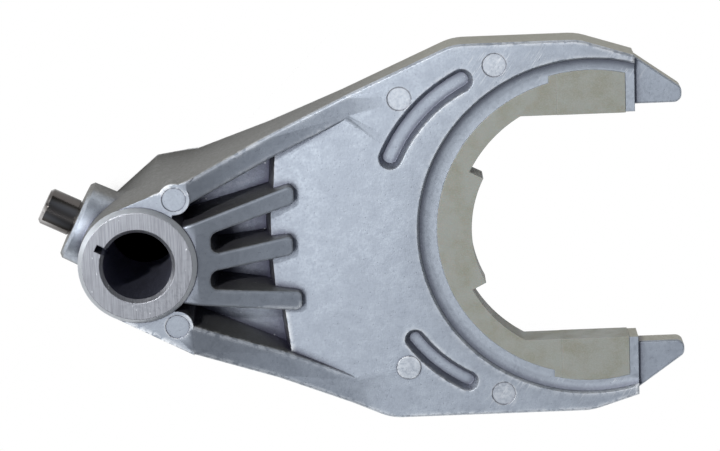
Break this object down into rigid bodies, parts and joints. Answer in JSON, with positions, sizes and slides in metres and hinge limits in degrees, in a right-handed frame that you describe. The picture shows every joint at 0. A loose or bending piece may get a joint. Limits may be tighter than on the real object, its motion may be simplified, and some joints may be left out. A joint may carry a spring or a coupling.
{
  "type": "transfer case range fork",
  "caption": "Cast aluminium range shift fork with a rail bore, a pressed-in steel cam pin, fanned ribs and a nylon liner clipped round its open throat.",
  "frame": {"origin": "on the rail bore's axis, at the mid-plane of the fork", "axes": "+Z along the rail bore, out of the hub face with the key notch; +X from the bore towards the finger tips; +Y completes the frame"},
  "size_m": [0.1803, 0.1072, 0.04],
  "materials": {
    "cast_aluminium": "satin as-cast skin, machined hub face",
    "pin_steel": "ground and polished",
    "liner_nylon": "satin moulded nylon"
  },
  "bodies": {
    "root": {"fork_casting": "cast_aluminium", "cam_pin": "pin_steel", "pad_liner": "liner_nylon"}
  },
  "joints": []
}
